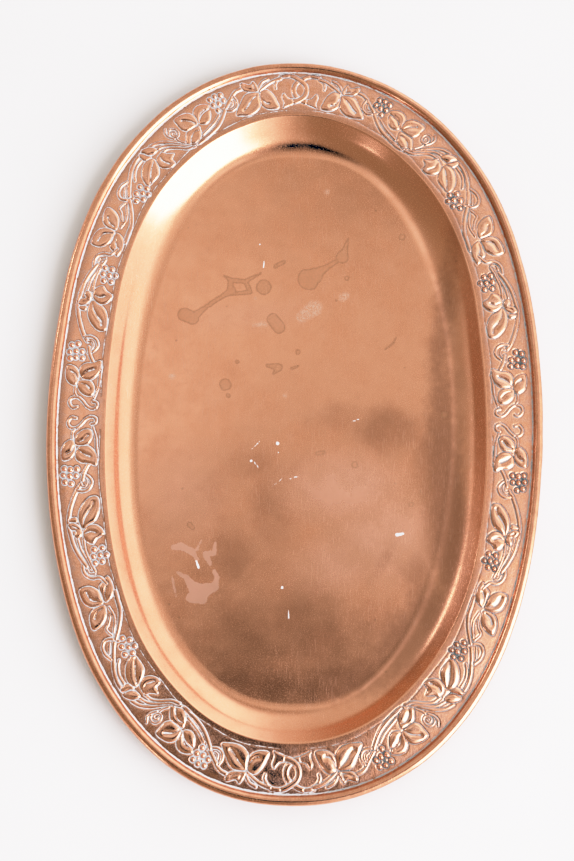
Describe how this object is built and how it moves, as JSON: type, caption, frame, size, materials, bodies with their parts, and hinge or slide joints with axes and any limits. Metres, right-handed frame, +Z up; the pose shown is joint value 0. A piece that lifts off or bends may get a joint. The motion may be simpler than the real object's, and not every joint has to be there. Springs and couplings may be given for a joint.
{
  "type": "serving tray",
  "caption": "Oval copper serving tray with a shallow coved well, a wide flat border chased with a vine and an edge rolled over a wire.",
  "frame": {"origin": "middle of the underside of the flat floor, on the surface that the tray stands on", "axes": "+Z up out of the well, +Y along the tray's long axis, +X across it"},
  "size_m": [0.305, 0.46, 0.0154],
  "materials": {
    "copper": "hand-hammered and polished, dull in the chased hollows",
    "steel_wire": "plain drawn wire, dull"
  },
  "bodies": {
    "root": {"tray_pan": "copper", "rim_wire": "steel_wire"}
  },
  "joints": []
}
